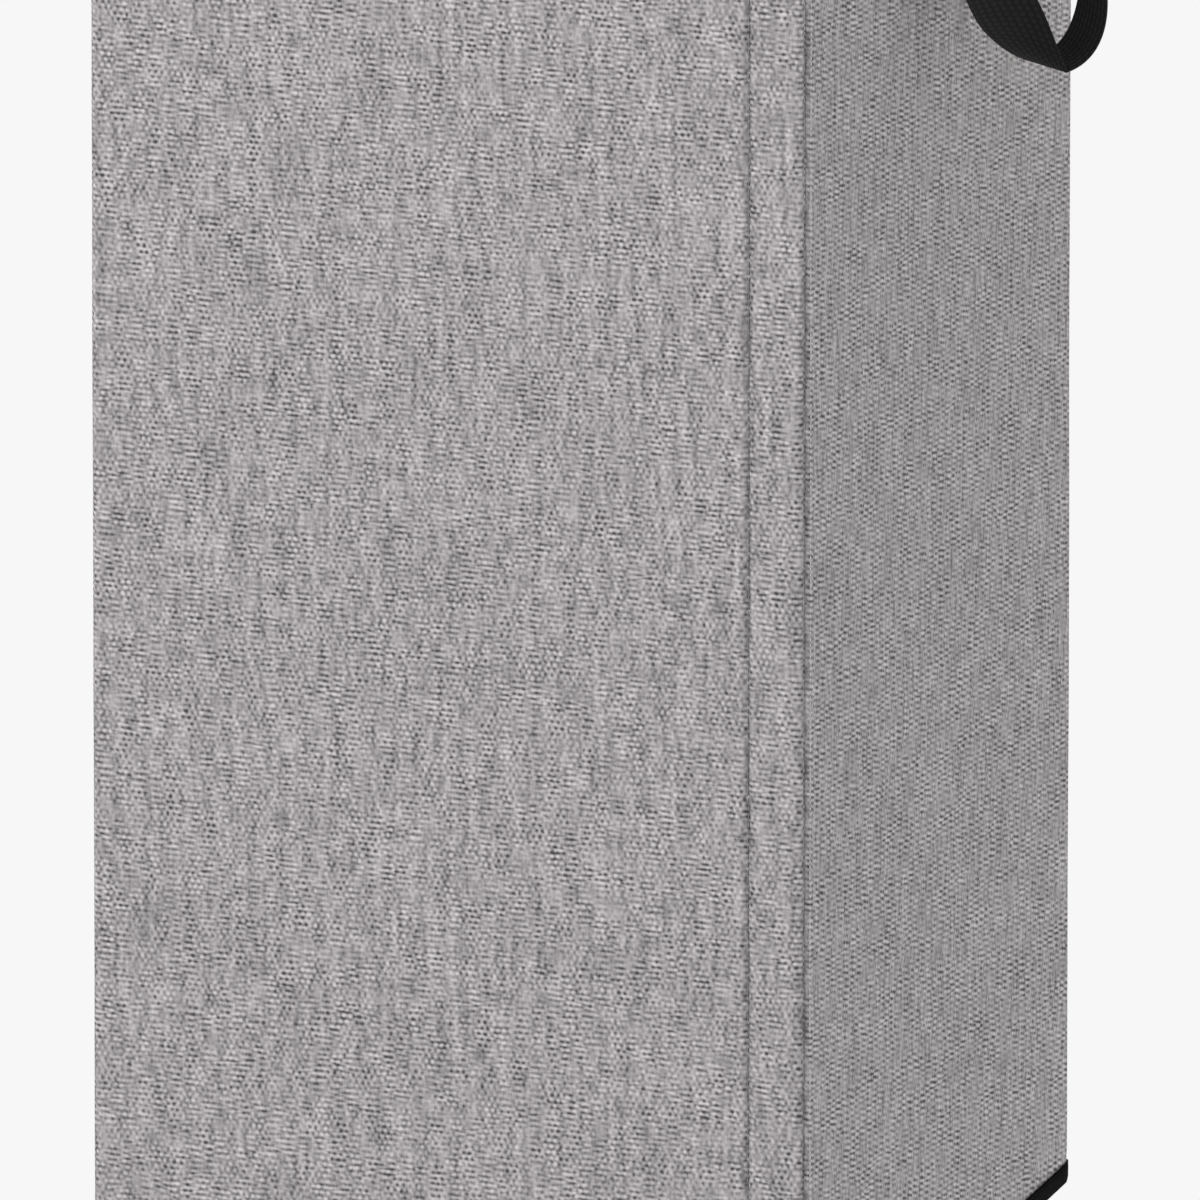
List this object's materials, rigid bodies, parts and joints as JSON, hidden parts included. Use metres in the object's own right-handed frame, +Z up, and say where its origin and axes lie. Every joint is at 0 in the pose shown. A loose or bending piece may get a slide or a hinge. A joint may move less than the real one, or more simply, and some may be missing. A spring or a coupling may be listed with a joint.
{
  "type": "fabric storage bin",
  "caption": "Tall square fabric storage bin with stiffened walls, bound rim and bottom edge, webbing side handles that swing and a loose base insert.",
  "frame": {"origin": "middle of the underside, where the bin rests", "axes": "+Z up along the bin's height, -Y out of the front wall, +X towards the right wall with its handle"},
  "size_m": [0.4358, 0.306, 0.66],
  "materials": {
    "grey_fabric": "woven melange linen look, grey",
    "board": "matt hard greyboard",
    "lining": "smooth matt coated lining, grey",
    "base_fabric": "plain matt non-woven, black",
    "insert_fabric": "smooth matt coated lining, grey",
    "black_tape": "fine ribbed binding tape, black",
    "black_webbing": "ribbed webbing, black, slight sheen"
  },
  "bodies": {
    "shell": {"front_panel": "grey_fabric", "right_panel": "grey_fabric", "back_panel": "grey_fabric", "left_panel": "grey_fabric", "closing_band": "grey_fabric", "front_board": "board", "right_board": "board", "back_board": "board", "left_board": "board", "lining_walls": "lining", "lining_floor": "lining", "base_panel": "base_fabric", "bottom_binding": "black_tape", "rim_binding": "black_tape", "right_handle_ends": "black_webbing", "left_handle_ends": "black_webbing"},
    "base_insert": {"insert_cover": "insert_fabric", "insert_board": "board"},
    "right_handle": {"right_handle": "black_webbing"},
    "left_handle": {"left_handle": "black_webbing"}
  },
  "joints": [
    {"name": "right_handle_swing", "type": "hinge", "parent": "shell", "child": "right_handle", "pos_m": [0.1552, 0, 0.6349], "axis": [0, -1, 0], "range_deg": [-8, 120]},
    {"name": "left_handle_swing", "type": "hinge", "parent": "shell", "child": "left_handle", "pos_m": [-0.1552, 0, 0.6349], "axis": [0, 1, 0], "range_deg": [-8, 120]},
    {"name": "insert_lift", "type": "slide", "parent": "shell", "child": "base_insert", "axis": [0, 0, 1], "range_m": [0, 0.68]}
  ]
}
